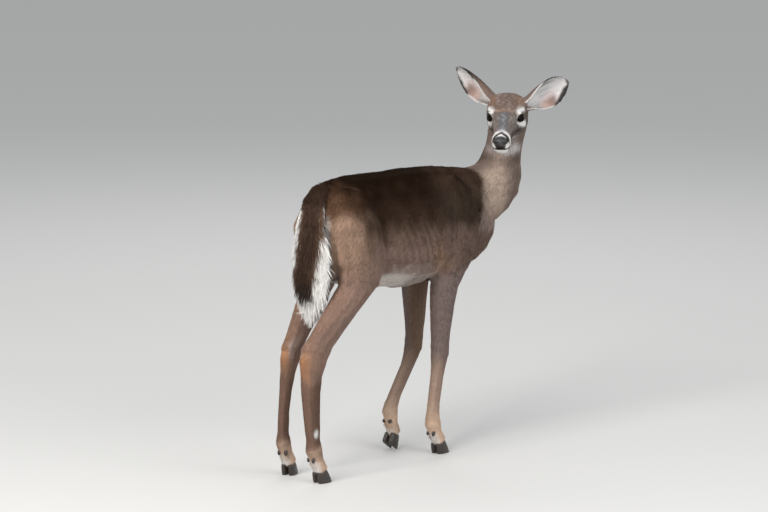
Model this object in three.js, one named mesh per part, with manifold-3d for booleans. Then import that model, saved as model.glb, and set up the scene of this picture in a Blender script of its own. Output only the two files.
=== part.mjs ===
// A white-tailed deer: a slender doe, life-size, standing still. Her body faces +X with +Y to her left,
// and her head is turned back over her right shoulder. The left forefoot is drawn back and rests on its
// toes; the other three stand flat. Millimetres, +Z up. The solids reach out to the tips of the coat. The
// finished group is shifted so that its origin is on the ground, under the middle of the animal's bounding
// box.
//
// Every body part is a tube of smooth rings (see tube). Whole limbs are made first, and then parted at
// their joints.
import * as THREE from 'three';
import { mergeVertices } from 'three/addons/utils/BufferGeometryUtils.js';
import Module from 'manifold-3d';

const wasm = await Module();
wasm.setup();
const { Manifold, Mesh: SolidMesh } = wasm;

// ---- Driving dimensions ----
const gap = 0.3; // between two parts that meet
const headTurn = -147.3; // degrees from the body's heading to the muzzle's, negative to her right
const headPitch = 16; // degrees that the muzzle points below level
const skullBack = new THREE.Vector3(469.5, -33.5, 1037); // where the head's own axis starts
const eyeRadius = 16;
const eyePlace = { along: 106, side: 41, lift: 16 }; // in the head's own frame
const earLength = 165;
const earThickness = 5;
const hoof = { length: 58, width: 21, height: 42, spread: 23.5 };
const dewclaw = { length: 22, radius: 7, spread: 23, below: 26, behind: 21 };

// Joints from the body down to the coronet, where the hoof starts.
const rightFore = [
  [160, -44, 856], [186, -76, 738], [104, -80, 577],
  [83, -71, 319], [52, -70, 100], [78, -70, 42],
];
const leftFore = [
  [168, 44, 856], [204, 76, 738], [150, 80, 577],
  [126, 71, 317], [14, 71, 126], [32, 73, 55],
];
const rightHind = [
  [-292, -46, 868], [-316, -76, 758], [-310, -86, 604],
  [-512, -70, 380], [-510, -71, 106], [-484, -71, 42],
];
const leftHind = [
  [-292, 46, 868], [-312, 76, 758], [-300, 86, 604],
  [-462, 64, 368], [-484, 74, 106], [-458, 76, 42],
];

const colours = {
  back: '#5d4a3c', flank: '#75604f', neck: '#8d7868', face: '#7d6a5c', ear: '#8a7566', tail: '#4a382d',
  leg: '#8b7058', foot: '#a08368', chin: '#d9d3ca', nose: '#26211f', eye: '#0f0b09', hoof: '#2a2521',
};

// ---- Solids ----
const radians = THREE.MathUtils.degToRad;

function solid(geometry) {
  const bare = new THREE.BufferGeometry();
  bare.setAttribute('position', geometry.getAttribute('position'));
  bare.setIndex(geometry.getIndex());
  const merged = mergeVertices(bare, 1e-3);
  return new Manifold(new SolidMesh({
    numProp: 3,
    vertProperties: merged.getAttribute('position').array,
    triVerts: new Uint32Array(merged.getIndex().array),
  }));
}

function geometryOf(shape) {
  const { vertProperties, triVerts } = shape.getMesh();
  const geometry = new THREE.BufferGeometry();
  geometry.setAttribute('position', new THREE.BufferAttribute(vertProperties, 3));
  geometry.setIndex(new THREE.BufferAttribute(triVerts, 1));
  geometry.computeVertexNormals();
  return geometry;
}

// The largest separate body of a cut, without the crumbs that a cut can leave.
function largest(shape) {
  return shape.decompose().reduce((a, b) => (a.volume() >= b.volume() ? a : b));
}

function without(shape, ...others) {
  return largest(others.reduce((rest, other) => rest.subtract(other), shape));
}

// Both sides of a plane, each half a gap short of it: what the normal points away from, and what it points
// to.
function parted(shape, point, normal) {
  const n = normal.clone().normalize();
  const offset = n.dot(point);
  const before = shape.trimByPlane(n.clone().negate().toArray(), gap / 2 - offset);
  const beyond = shape.trimByPlane(n.toArray(), offset + gap / 2);
  return [largest(before), largest(beyond)];
}

// ---- Tubes ----
// Rows of named values, smoothed so that perRow rings lie between each two rows.
function smoothed(names, rows, perRow) {
  const places = Float32Array.from(rows, (_, i) => i);
  const curve = new THREE.CubicInterpolant(places, Float32Array.from(rows.flat()), names.length);
  return Array.from({ length: (rows.length - 1) * perRow + 1 }, (_, i) => {
    const values = curve.evaluate(i / perRow);
    return Object.fromEntries(names.map((name, k) => [name, values[k]]));
  });
}

// A closed skin over rings of equally many points, each ring seen turning clockwise from the tube's far
// end. A flat end is filled with strips between points that face each other, which also suits a ring bent
// like a crescent.
function skinOver(rings) {
  const sides = rings[0].length;
  const last = (rings.length - 1) * sides;
  const index = [];
  for (let j = 0; j < sides; j++) {
    const k = (j + 1) % sides;
    for (let row = 0; row < last; row += sides) {
      index.push(row + j, row + sides + j, row + k, row + k, row + sides + j, row + sides + k);
    }
  }
  for (let a = 0; a < sides / 2 - 1; a++) {
    const [b, c, d] = [a + 1, sides - 2 - a, sides - 1 - a];
    index.push(a, b, c, a, c, d, last + a, last + c, last + b, last + a, last + d, last + c);
  }
  return new THREE.BufferGeometry().setFromPoints(rings.flat()).setIndex(index);
}

const bulge = (value, square) => Math.sign(value) * Math.abs(value) ** (1 - square);

// One ring round a centre. top and base are its reach to the crest side and away from it, wide its half
// width. lean narrows the crest side, and square, from 0 to 1, fills out its corners.
function ring(centre, along, { heading = 0, wide, top, base, lean = 0, square = 0 }, sides, grow) {
  const across = new THREE.Vector3(-Math.sin(radians(heading)), Math.cos(radians(heading)), 0);
  across.addScaledVector(along, -across.dot(along)).normalize();
  const crest = new THREE.Vector3().crossVectors(along, across);
  return Array.from({ length: sides }, (_, i) => {
    const angle = (2 * Math.PI * i) / sides;
    const rise = bulge(Math.cos(angle), square);
    const side = bulge(Math.sin(angle), square);
    const reach = (rise > 0 ? top : base) + grow;
    return centre.clone()
      .addScaledVector(across, (wide + grow) * side * (1 - lean * rise))
      .addScaledVector(crest, reach * rise);
  });
}

// A tube through stations that each hold x, y and z and the values of ring. The crest of a level tube is
// its upper side; that of one that runs down, such as a leg, is its front.
function tube(stations, sides, grow = 0) {
  const centres = stations.map(({ x, y, z }) => new THREE.Vector3(x, y, z));
  const rings = stations.map((station, i) => {
    const before = centres[Math.max(i - 1, 0)];
    const after = centres[Math.min(i + 1, centres.length - 1)];
    return ring(centres[i], after.clone().sub(before).normalize(), station, sides, grow);
  });
  return solid(skinOver(rings));
}

// ---- Trunk, neck and tail ----
const trunkStations = smoothed(['x', 'y', 'z', 'wide', 'top', 'base', 'lean'], [
  [-430, 0, 722, 22, 48, 40, 0],
  [-421, 0, 722, 60, 112, 86, 0],
  [-398, 0, 722, 86, 150, 118, 0.02],
  [-350, 0, 722, 100, 177, 140, 0.06],
  [-290, 0, 718, 106, 186, 150, 0.1],
  [-215, 0, 712, 114, 190, 156, 0.13],
  [-130, 0, 704, 124, 196, 160, 0.15],
  [-40, 0, 696, 131, 204, 168, 0.17],
  [60, 0, 691, 128, 204, 156, 0.18],
  [140, 0, 692, 116, 199, 147, 0.2],
  [205, 0, 697, 104, 187, 143, 0.17],
  [260, 0, 705, 96, 173, 141, 0.08],
  [310, 0, 711, 88, 153, 138, 0],
  [352, 0, 710, 77, 120, 126, 0],
  [384, 0, 703, 57, 84, 106, 0],
  [402, 0, 699, 24, 44, 62, 0],
], 1);

const neckStations = smoothed(['x', 'y', 'z', 'heading', 'wide', 'top', 'base', 'lean'], [
  [170, 0, 750, 0, 66, 126, 92, 0],
  [262, -2, 762, 0, 78, 119, 114, 0.1],
  [345, -12, 788, -8, 77, 92, 114, 0.12],
  [404, -22, 836, -26, 69, 66, 103, 0.12],
  [435, -28, 894, -60, 58, 57, 68, 0.1],
  [451, -33, 951, -105, 60, 55, 60, 0.05],
  [462, -36, 1002, -136, 63, 54, 60, 0],
  [468, -37, 1050, headTurn, 50, 42, 46, 0],
], 2);

const tailStations = smoothed(['x', 'y', 'z', 'wide', 'top', 'base', 'square'], [
  [-368, 0, 868, 24, 10, 28, 0],
  [-398, 0, 862, 34, 17, 28, 0],
  [-424, 0, 836, 44, 22, 26, 0.05],
  [-440, 0, 790, 58, 25, 27, 0.1],
  [-445, 0, 720, 74, 25, 28, 0.1],
  [-446, 0, 640, 78, 24, 28, 0.1],
  [-446, 0, 575, 74, 22, 26, 0.1],
  [-445, 0, 520, 56, 18, 21, 0.05],
  [-445, 0, 484, 34, 12, 15, 0],
  [-445, 0, 462, 8, 5, 6, 0],
], 1);

// ---- Legs ----
// A leg's shape follows its joints. Each row is a place from one joint to the next, such as 2.5 for
// halfway from joint 2 to joint 3, and the half width and the reach to the front and the back there.
const foreShape = [
  [0, 12, 30, 30], [0.4, 26, 60, 56], [1, 36, 90, 82], [1.55, 41, 104, 86], [2, 42, 76, 68],
  [2.2, 40, 53, 54], [2.42, 35, 43, 48], [2.7, 29, 34, 41], [2.88, 26, 30, 34], [3, 27, 30, 31],
  [3.12, 25, 28, 28], [3.3, 20, 22, 23], [3.65, 19, 20.5, 22], [3.88, 21.5, 23.5, 26],
  [4, 23, 26, 29], [4.5, 21, 22, 22], [5, 23, 23, 21],
];
const rightHindShape = [
  [0, 14, 44, 56], [0.4, 32, 88, 88], [1, 44, 110, 108], [1.6, 48, 104, 106], [2, 47, 75, 90],
  [2.25, 43, 43, 64], [2.5, 37, 44, 52], [2.75, 31, 47, 43], [2.94, 28, 49, 49],
  [3.06, 27, 47, 46], [3.18, 25, 43, 34], [3.36, 23, 38, 27], [3.6, 22, 33, 22],
  [3.86, 21.5, 24, 22], [4, 23, 25, 28], [4.5, 21, 22, 22], [5, 23, 23, 21],
];
const leftHindShape = [
  [0, 14, 44, 56], [0.4, 32, 88, 88], [1, 44, 110, 108], [1.6, 48, 108, 104], [2, 47, 82, 84],
  [2.25, 43, 50, 54], [2.5, 37, 46, 41], [2.75, 31, 42, 33], [2.94, 28, 40, 42],
  [3.06, 26, 37, 39], [3.18, 23, 32, 27], [3.36, 19, 26, 19], [3.6, 17, 21, 18],
  [3.86, 18.5, 21, 21], [4, 22, 24, 27], [4.5, 21, 22, 22], [5, 23, 23, 21],
];

// turn is how far the foot points to her left of straight ahead, in degrees. The leg turns to it above the
// hock or knee.
function legStations(joints, shape, turn) {
  const spine = new THREE.CatmullRomCurve3(joints.map((p) => new THREE.Vector3(...p)), false, 'centripetal');
  const rows = shape.map(([place, wide, top, base]) => {
    const { x, y, z } = spine.getPoint(place / (joints.length - 1));
    return [x, y, z, turn * THREE.MathUtils.smoothstep(place, 2, 3), wide, top, base];
  });
  return smoothed(['x', 'y', 'z', 'heading', 'wide', 'top', 'base'], rows, 1);
}

// Parts a leg below its shoulder or hip, at the elbow or stifle, the knee or hock, and the fetlock. Each
// plane leans halfway between the two bones that meet there.
function legSegments(leg, joints, names) {
  const points = joints.map((p) => new THREE.Vector3(...p));
  const segments = [];
  let rest = leg;
  for (const k of [2, 3, 4]) {
    const before = points[k].clone().sub(points[k - 1]).normalize();
    const after = points[k + 1].clone().sub(points[k]).normalize();
    const [upper, lower] = parted(rest, points[k], before.add(after));
    segments.push(upper);
    rest = lower;
  }
  return new Map([...segments, rest].map((segment, i) => [names[i], segment]));
}

// ---- Feet ----
// One toe's hoof, pointed to the front. The coronet's middle is at the origin, the sole is level, and the
// coronet slopes down to the heel. Rows hold a share of the height and the reach to the toe and the heel
// and the breadth.
function hoofShell(grow) {
  const { length, width, height } = hoof;
  const slope = 0.3;
  const rows = [
    [-0.04, -3, 0.34, 0.28, 0.9], [0.35, 1, 0.42, 0.34, 1], [0.75, 5, 0.5, 0.38, 1], [1, 7, 0.52, 0.38, 0.96],
  ];
  const sides = 10;
  const rings = rows.map(([share, forward, toe, heel, breadth]) => Array.from({ length: sides }, (_, i) => {
    const angle = (2 * Math.PI * i) / sides;
    const front = Math.cos(angle);
    const reach = (front > 0 ? toe : heel) * length + grow;
    const narrowing = front > 0 ? 1 - 0.35 * front : 1;
    const x = forward + reach * front;
    const y = ((breadth * narrowing * width) / 2 + grow) * Math.sin(angle);
    return new THREE.Vector3(x, y, (1 - share) * slope * (x - 20) - share * height - grow * (share * 2 - 1));
  }));
  return skinOver(rings);
}

function dewclawShell(grow) {
  const { length, radius } = dewclaw;
  const outline = [[0, -0.5], [0.78, -0.28], [1, 0.05], [0.6, 0.4], [0, 0.5]];
  const points = outline.map(([out, up]) => new THREE.Vector2(
    out * (radius + grow),
    up * (length + 2 * grow),
  ));
  return new THREE.LatheGeometry(points, 5).rotateZ(-0.3);
}

// The two hooves and two dewclaws of a foot. pitch tips the foot forward onto its toes, and turn points it
// to her left, in degrees.
function feet({ joints, pitch, turn }, grow = 0) {
  const coronet = new THREE.Vector3(...joints[5]);
  const fetlock = new THREE.Vector3(...joints[4]);
  const turned = new THREE.Matrix4().makeRotationZ(radians(turn));
  const tipped = new THREE.Matrix4().makeRotationY(radians(pitch));
  const place = turned.clone().multiply(tipped).setPosition(coronet);
  const pastern = coronet.clone().sub(fetlock).normalize();
  const leftward = new THREE.Vector3(0, 1, 0).applyMatrix4(turned);
  const behind = new THREE.Vector3().crossVectors(leftward, pastern).normalize();
  const made = {};
  for (const [name, side] of [['left', 1], ['right', -1]]) {
    const toe = hoofShell(grow).translate(0, (side * hoof.spread) / 2, 0).applyMatrix4(place);
    made[`hoof_${name}`] = solid(toe).trimByPlane([0, 0, 1], 0);
    const root = fetlock.clone()
      .addScaledVector(pastern, dewclaw.below)
      .addScaledVector(behind, dewclaw.behind)
      .addScaledVector(leftward, (side * dewclaw.spread) / 2);
    const claw = dewclawShell(grow).rotateX(Math.PI / 2).applyMatrix4(tipped).applyMatrix4(turned);
    made[`dewclaw_${name}`] = solid(claw.translate(root.x, root.y, root.z));
  }
  return made;
}

// ---- Head ----
const muzzleHeading = radians(headTurn);
const muzzlePitch = radians(headPitch);
const headAxes = {
  along: new THREE.Vector3(
    Math.cos(muzzleHeading) * Math.cos(muzzlePitch),
    Math.sin(muzzleHeading) * Math.cos(muzzlePitch),
    -Math.sin(muzzlePitch),
  ),
  side: new THREE.Vector3(-Math.sin(muzzleHeading), Math.cos(muzzleHeading), 0),
};
headAxes.lift = new THREE.Vector3().crossVectors(headAxes.along, headAxes.side);

// From the head's own frame: along the skull towards the nose, to the left side, and up.
function onHead(along, side, lift) {
  return skullBack.clone()
    .addScaledVector(headAxes.along, along)
    .addScaledVector(headAxes.side, side)
    .addScaledVector(headAxes.lift, lift);
}

const headFrame = new THREE.Matrix4()
  .makeBasis(headAxes.along, headAxes.side, headAxes.lift)
  .setPosition(skullBack);

const headStations = smoothed(['along', 'lift', 'wide', 'top', 'base', 'lean', 'square'], [
  [-20, 10, 22, 22, 24, 0, 0],
  [-8, 9, 46, 42, 46, 0, 0],
  [14, 8, 61, 55, 64, 0.04, 0.22],
  [42, 6, 66, 60, 74, 0.06, 0.3],
  [72, 5, 62, 59, 75, 0, 0.24],
  [96, 6, 54, 53, 69, -0.1, 0.1],
  [112, 5, 46.5, 48, 63, -0.12, 0.04],
  [126, 4, 42.5, 43, 59, -0.1, 0.04],
  [154, 1, 36, 35, 51, -0.08, 0.06],
  [184, -2, 31.5, 29, 45, -0.04, 0.1],
  [212, -4, 30, 26, 42, 0, 0.14],
  [238, -5, 30.5, 24, 41, 0.02, 0.18],
  [258, -6, 28, 21, 37, 0.02, 0.16],
  [271, -7, 21, 15, 26, 0, 0.1],
  [277, -8, 9, 7, 9, 0, 0],
], 2).map(({ along, lift, ...rest }) => {
  const { x, y, z } = onHead(along, 0, lift);
  return { x, y, z, heading: headTurn, ...rest };
});

// The bare pad at the muzzle's end.
const noseMiddle = [270, 0, 1.5];
const noseRadii = [20, 22.5, 20];

function nosePad(grow) {
  const radii = noseRadii.map((radius) => radius + grow);
  const pad = new THREE.IcosahedronGeometry(1, 2).scale(...radii);
  return solid(pad.translate(...noseMiddle).applyMatrix4(headFrame));
}

// The lower jaw's space: under the mouth, from the chin to the mouth's corners.
const mouth = { front: 290, back: 190, lift: -17, slope: 0.06, wide: 90, deep: 60 };

function jawSpace(grow) {
  const length = mouth.front - mouth.back + grow;
  const space = new THREE.BoxGeometry(length, mouth.wide, mouth.deep + 2 * grow);
  space.translate(length / 2, 0, -mouth.deep / 2);
  space.rotateY(-mouth.slope).translate(mouth.back - grow, 0, mouth.lift);
  return solid(space.applyMatrix4(headFrame));
}

function eyeball(side, grow) {
  const { along, side: out, lift } = eyePlace;
  const ball = new THREE.IcosahedronGeometry(eyeRadius + grow, 2);
  return solid(ball.translate(along, side * out, lift).applyMatrix4(headFrame));
}

// An ear is a leaf-shaped cup, curled shut at its base. Rows hold a place from base to tip, the radius of
// its cross section and half the angle, in degrees, that the section turns through.
const earShape = smoothed(['share', 'radius', 'half'], [
  [0, 20, 150], [0.14, 26, 128], [0.32, 37, 98], [0.52, 46, 78], [0.7, 47, 64], [0.85, 41, 50],
  [0.95, 33, 33], [1, 27, 12],
], 2);

// reach points from base to tip and mouth is where the cup opens to, both in the head's own frame.
function ear({ base, reach, mouth, sweep }) {
  const turn = (v) => new THREE.Vector3(...v).transformDirection(headFrame);
  const up = turn(reach);
  const open = turn(mouth);
  open.addScaledVector(up, -open.dot(up)).normalize();
  const across = new THREE.Vector3().crossVectors(open, up);
  const root = onHead(...base);
  const steps = 6;
  const rings = earShape.map(({ share, radius, half }) => {
    const arc = (size, from, to) => Array.from({ length: steps + 1 }, (_, i) => {
      const angle = radians(THREE.MathUtils.lerp(from, to, i / steps));
      return root.clone()
        .addScaledVector(up, earLength * share)
        .addScaledVector(open, sweep * share ** 2 + 14 - size * Math.cos(angle) + (radius - 16) * 0.7)
        .addScaledVector(across, size * Math.sin(angle));
    });
    const rim = earThickness / 2;
    return [...arc(radius + rim, half, -half), ...arc(radius - rim, -half, half)];
  });
  return solid(skinOver(rings));
}

const ears = {
  left: { base: [20, 47, 26], reach: [-0.5, 0.8, 0.25], mouth: [0.86, 0.3, 0.1], sweep: 6 },
  right: { base: [16, -37, 44], reach: [-0.44, -0.76, 0.39], mouth: [0.77, -0.59, -0.25], sweep: 6 },
};

// ---- Putting her together ----
const foreNames = ['shoulder', 'forearm', 'cannon', 'pastern'];
const hindNames = ['thigh', 'gaskin', 'cannon', 'pastern'];
const legs = {
  fore_right: { joints: rightFore, shape: foreShape, names: foreNames, pitch: 0, turn: -6 },
  fore_left: { joints: leftFore, shape: foreShape, names: foreNames, pitch: 38, turn: 0 },
  hind_right: { joints: rightHind, shape: rightHindShape, names: hindNames, pitch: 0, turn: -12 },
  hind_left: { joints: leftHind, shape: leftHindShape, names: hindNames, pitch: 0, turn: 14 },
};
const legSides = 12;
const trunkSides = 16;
const neckSides = 14;
const headSides = 16;
const tailSides = 12;

const parts = {};
const legTubes = [];
for (const [leg, pose] of Object.entries(legs)) {
  const { joints, shape, names, turn } = pose;
  const stations = legStations(joints, shape, turn);
  legTubes.push(tube(stations, legSides, gap));
  const segments = legSegments(tube(stations, legSides), joints, names);
  const footSpace = Object.values(feet(pose, gap));
  segments.set('pastern', without(segments.get('pastern'), ...footSpace));
  for (const [name, segment] of segments) parts[`${leg}_${name}`] = segment;
  for (const [name, piece] of Object.entries(feet(pose))) parts[`${leg}_${name}`] = piece;
}

const headWhole = tube(headStations, headSides);
const headGrown = tube(headStations, headSides, gap);
const trunkGrown = tube(trunkStations, trunkSides, gap);
const neckWhole = tube(neckStations, neckSides);

parts.trunk = without(tube(trunkStations, trunkSides), ...legTubes);
parts.neck = without(neckWhole, trunkGrown, ...legTubes, headGrown);
parts.tail = without(tube(tailStations, tailSides), trunkGrown, ...legTubes);
const eyes = { left: 1, right: -1 };
const sockets = Object.values(eyes).map((side) => eyeball(side, gap));
parts.head = without(headWhole, nosePad(gap), jawSpace(gap), ...sockets);
parts.lower_jaw = without(largest(headWhole.intersect(jawSpace(0))), nosePad(gap));
parts.nose = nosePad(0);
for (const [name, side] of Object.entries(eyes)) parts[`eye_${name}`] = eyeball(side, 0);
for (const [name, shape] of Object.entries(ears)) parts[`ear_${name}`] = without(ear(shape), headGrown);

function colourOf(name) {
  if (name.includes('hoof') || name.includes('dewclaw')) return colours.hoof;
  if (name.includes('cannon') || name.includes('pastern')) return colours.foot;
  if (name.includes('forearm') || name.includes('gaskin')) return colours.leg;
  if (name.includes('shoulder') || name.includes('thigh')) return colours.flank;
  const single = { trunk: 'back', lower_jaw: 'chin', head: 'face' };
  return colours[single[name] ?? name.split('_')[0]];
}

const deer = new THREE.Group();
deer.name = 'white_tailed_deer';
for (const [name, part] of Object.entries(parts)) {
  const wet = name.startsWith('eye') || name === 'nose';
  const roughness = wet ? 0.2 : 0.85;
  const material = new THREE.MeshStandardMaterial({ color: colourOf(name), roughness, metalness: 0 });
  const mesh = new THREE.Mesh(geometryOf(part), material);
  mesh.name = name;
  deer.add(mesh);
}
const bounds = new THREE.Box3().setFromObject(deer);
const middle = bounds.getCenter(new THREE.Vector3());
deer.position.set(-middle.x, -middle.y, -bounds.min.z);

export default deer;
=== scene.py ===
"""A white-tailed doe in winter coat, looking back over her right shoulder.

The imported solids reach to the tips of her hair. One skin is made from copies of them, smoothed, and drawn
in by the coat's depth. Tufts of hair stand on it, lie along the body, and reach back out to the solids.
Points in millimetres are in the frame of the model's source, before it is centred, or in the head's own
frame: along the skull towards the nose, to her left, and up.
"""

import bmesh
import bpy
import numpy as np
from mathutils import Matrix, Vector
from mathutils.bvhtree import BVHTree


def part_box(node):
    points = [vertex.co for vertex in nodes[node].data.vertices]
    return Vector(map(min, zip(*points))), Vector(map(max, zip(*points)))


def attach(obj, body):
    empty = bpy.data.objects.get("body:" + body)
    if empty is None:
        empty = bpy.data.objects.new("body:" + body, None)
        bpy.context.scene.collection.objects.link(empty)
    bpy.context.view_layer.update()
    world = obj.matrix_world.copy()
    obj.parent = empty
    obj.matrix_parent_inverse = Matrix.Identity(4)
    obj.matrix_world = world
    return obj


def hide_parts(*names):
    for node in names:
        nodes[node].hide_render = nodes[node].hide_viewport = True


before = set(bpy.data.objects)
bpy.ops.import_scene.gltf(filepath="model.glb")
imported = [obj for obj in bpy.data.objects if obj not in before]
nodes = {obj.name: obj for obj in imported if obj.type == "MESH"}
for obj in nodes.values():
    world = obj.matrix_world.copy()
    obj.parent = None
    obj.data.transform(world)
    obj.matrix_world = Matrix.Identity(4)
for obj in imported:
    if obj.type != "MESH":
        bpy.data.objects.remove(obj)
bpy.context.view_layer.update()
rng = np.random.default_rng(20)
scene = bpy.context.scene

# ---- Where things are, as in the model's source ----
HEAD_NODES = ("head", "lower_jaw", "nose")
HEAD_TURN = np.radians(-147.3)
HEAD_PITCH = np.radians(16)
SKULL_BACK = np.array([469.5, -33.5, 1037]) / 1000
EYE_RADIUS = 16.0
EYE_PLACE = np.array([106, 41, 16])
LEGS = {
    "fore_right": [
        [160, -44, 856], [186, -76, 738], [104, -80, 577], [83, -71, 319], [52, -70, 100], [78, -70, 42],
    ],
    "fore_left": [
        [168, 44, 856], [204, 76, 738], [150, 80, 577], [126, 71, 317], [14, 71, 126], [32, 73, 55],
    ],
    "hind_right": [
        [-292, -46, 868], [-316, -76, 758], [-310, -86, 604],
        [-512, -70, 380], [-510, -71, 106], [-484, -71, 42],
    ],
    "hind_left": [
        [-292, 46, 868], [-312, 76, 758], [-300, 86, 604], [-462, 64, 368], [-484, 74, 106], [-458, 76, 42],
    ],
}
NECK = [
    [170, 0, 750], [262, -2, 762], [345, -12, 788], [404, -22, 836],
    [435, -28, 894], [450, -32, 951], [461, -34, 1002], [467, -35, 1050],
]
EARS = {
    "ear_left": {"base": [20, 47, 26], "reach": [-0.5, 0.8, 0.25], "mouth": [0.86, 0.3, 0.1]},
    "ear_right": {"base": [16, -37, 44], "reach": [-0.44, -0.76, 0.39], "mouth": [0.77, -0.59, -0.25]},
}
EAR_LENGTH = 165.0
EAR_SHARE = [0, 0.14, 0.32, 0.52, 0.7, 0.85, 0.95, 1]
EAR_CURVE = [20, 26, 37, 46, 47, 41, 33, 27]
EAR_HALF_ANGLE = [150, 128, 98, 78, 64, 50, 33, 12]
TAIL_MIDDLE = [-442, 0, 0]

along = np.array([
    np.cos(HEAD_TURN) * np.cos(HEAD_PITCH),
    np.sin(HEAD_TURN) * np.cos(HEAD_PITCH),
    -np.sin(HEAD_PITCH),
])
side = np.array([-np.sin(HEAD_TURN), np.cos(HEAD_TURN), 0])
lift = np.cross(along, side)
HEAD_AXES = np.stack([along, side, lift])


def box_middle(node):
    low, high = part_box(node)
    return (np.array(low) + np.array(high)) / 2


eye_middle = (box_middle("eye_left") + box_middle("eye_right")) / 2
shift = eye_middle - (SKULL_BACK + (EYE_PLACE * [1, 0, 1] / 1000) @ HEAD_AXES)


def placed(points_mm):
    """Points of the source, in its millimetres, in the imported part's frame in metres."""
    return np.asarray(points_mm, float) / 1000 + shift


def source_mm(points):
    """The other way round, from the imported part's frame to the source's."""
    return (points - shift) * 1000


def head_mm(points):
    """The same points in the head's own frame, in millimetres."""
    return (points - shift - SKULL_BACK) @ HEAD_AXES.T * 1000


def from_head(points_mm):
    return SKULL_BACK + shift + np.asarray(points_mm, float) / 1000 @ HEAD_AXES


# ---- Small tools ----
WAVES = 7
WAVE_SCALE = 3.2
FULL_TURN = 6.28
SMOOTHING = 0.5


def unit(vectors):
    return vectors / np.maximum(np.linalg.norm(vectors, axis=-1, keepdims=True), 1e-12)


def ramp(low, high, values):
    """0 at low, 1 at high, flat beyond them and smooth between. low may be the greater."""
    t = np.clip((values - low) / (high - low), 0, 1)
    return t * t * (3 - 2 * t)


def bump(values, middle, reach):
    return np.exp(-(((values - middle) / reach) ** 2))


def linear(srgb):
    c = np.asarray(srgb, float) / 255
    return np.where(c <= 0.04045, c / 12.92, ((c + 0.055) / 1.055) ** 2.4)


def mix(a, b, share):
    share = np.asarray(share)[..., None]
    return a * (1 - share) + b * share


def smooth_noise(points, size, seed):
    """A cheap smooth noise of about -1 to 1: a few sine waves in turned directions."""
    waves = np.random.default_rng(seed)
    total = np.zeros(len(points))
    for _ in range(WAVES):
        direction = unit(waves.normal(size=3))
        phase = waves.uniform(0, FULL_TURN)
        total += np.sin(points @ direction * (FULL_TURN / size * waves.uniform(0.7, 1.6)) + phase)
    return total / WAVE_SCALE


def new_object(name, data):
    made = bpy.data.objects.new(name, data)
    scene.collection.objects.link(made)
    return made


def mesh_of(name, points, polygons):
    mesh = bpy.data.meshes.new(name)
    mesh.from_pydata([tuple(p) for p in points], [], [tuple(int(i) for i in p) for p in polygons])
    return mesh


def read(sequence, field, width, kind=np.float32):
    """One field of all of a mesh's vertices, edges, loops or faces."""
    flat = np.empty(len(sequence) * width, kind)
    sequence.foreach_get(field, flat)
    return flat.reshape(-1, width) if width > 1 else flat


def write(sequence, field, values, kind=np.float32):
    sequence.foreach_set(field, np.asarray(values, kind).ravel())


def points_of(mesh):
    return read(mesh.vertices, "co", 3).astype(float)


def normals_of(mesh):
    return read(mesh.vertices, "normal", 3).astype(float)


def edges_of(mesh):
    return read(mesh.edges, "vertices", 2, np.int32)


def triangles_of(mesh):
    mesh.calc_loop_triangles()
    return read(mesh.loop_triangles, "vertices", 3, np.int32)


def set_points(mesh, points):
    write(mesh.vertices, "co", points)
    mesh.update()


def averaged(values, edges, rounds, held=None):
    """Each vertex's value drawn towards its neighbours'. held is how much it keeps its own, from 0 to 1."""
    count = len(values)
    a, b = edges.T
    degree = np.maximum(np.bincount(a, minlength=count) + np.bincount(b, minlength=count), 1)
    flat = values.reshape(count, -1).copy()
    strength = SMOOTHING if held is None else (SMOOTHING * (1 - held))[:, None]
    for _ in range(rounds):
        around = np.stack([
            np.bincount(a, column[b], count) + np.bincount(b, column[a], count) for column in flat.T
        ], axis=1) / degree[:, None]
        flat += (around - flat) * strength
    return flat.reshape(values.shape)


def joined(parts):
    """The (points, triangles) parts as one."""
    starts = np.cumsum([0] + [len(points) for points, _ in parts])
    triangles = [part + start for (_, part), start in zip(parts, starts)]
    return np.concatenate([points for points, _ in parts]), np.concatenate(triangles)


def remeshed(name, parts, voxel):
    """One closed mesh round the parts."""
    made = new_object(name, mesh_of(name, *joined(parts)))
    made.modifiers.new("voxels", "REMESH").voxel_size = voxel
    graph = bpy.context.evaluated_depsgraph_get()
    mesh = bpy.data.meshes.new_from_object(made.evaluated_get(graph))
    old = made.data
    made.modifiers.clear()
    made.data = mesh
    bpy.data.meshes.remove(old)
    return made


def node_arrays(node):
    mesh = nodes[node].data
    return points_of(mesh), triangles_of(mesh)


def surface_of(parts):
    """A search tree of the faces of all the parts."""
    return BVHTree.FromPolygons(*[v.tolist() for v in joined(parts)])


def nearest(tree, points):
    """For each point, the index of the tree's nearest face, and how far out from that face it lies."""
    found = [tree.find_nearest(point) for point in points.tolist()]
    away = points - np.array([f[0] for f in found])
    outward = np.array([f[1] for f in found])
    height = np.linalg.norm(away, axis=1) * np.sign(np.sum(away * outward, axis=1))
    return np.array([f[2] for f in found]), height


# ---- The regions of the body ----
# How stiff each region's skin is when it is smoothed, so that thin parts keep their shape, the depth of its
# coat, the length and width of its tufts, all in millimetres, and the tufts on each square centimetre.
REGIONS = {
    "trunk": (0, 6.0, 22, 2.1, 12), "neck": (0, 5.6, 22, 1.9, 15), "head": (0.85, 1.5, 6, 1.0, 44),
    "lower_jaw": (0.88, 1.4, 6, 1.0, 44), "nose": (0.9, 0.2, 3, 0.9, 40), "tail": (0.5, 7, 46, 2.6, 17),
    "ear": (0.97, 0.8, 8, 1.1, 34), "upper": (0, 5.6, 21, 2.1, 12), "lower": (0.72, 3.2, 14, 1.7, 15),
    "cannon": (0.86, 1.6, 8, 1.3, 30), "pastern": (0.9, 1.5, 8, 1.3, 30),
}
REGION_NAMES = list(REGIONS)
REGION_ROWS = np.array(list(REGIONS.values()), float)
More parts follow.
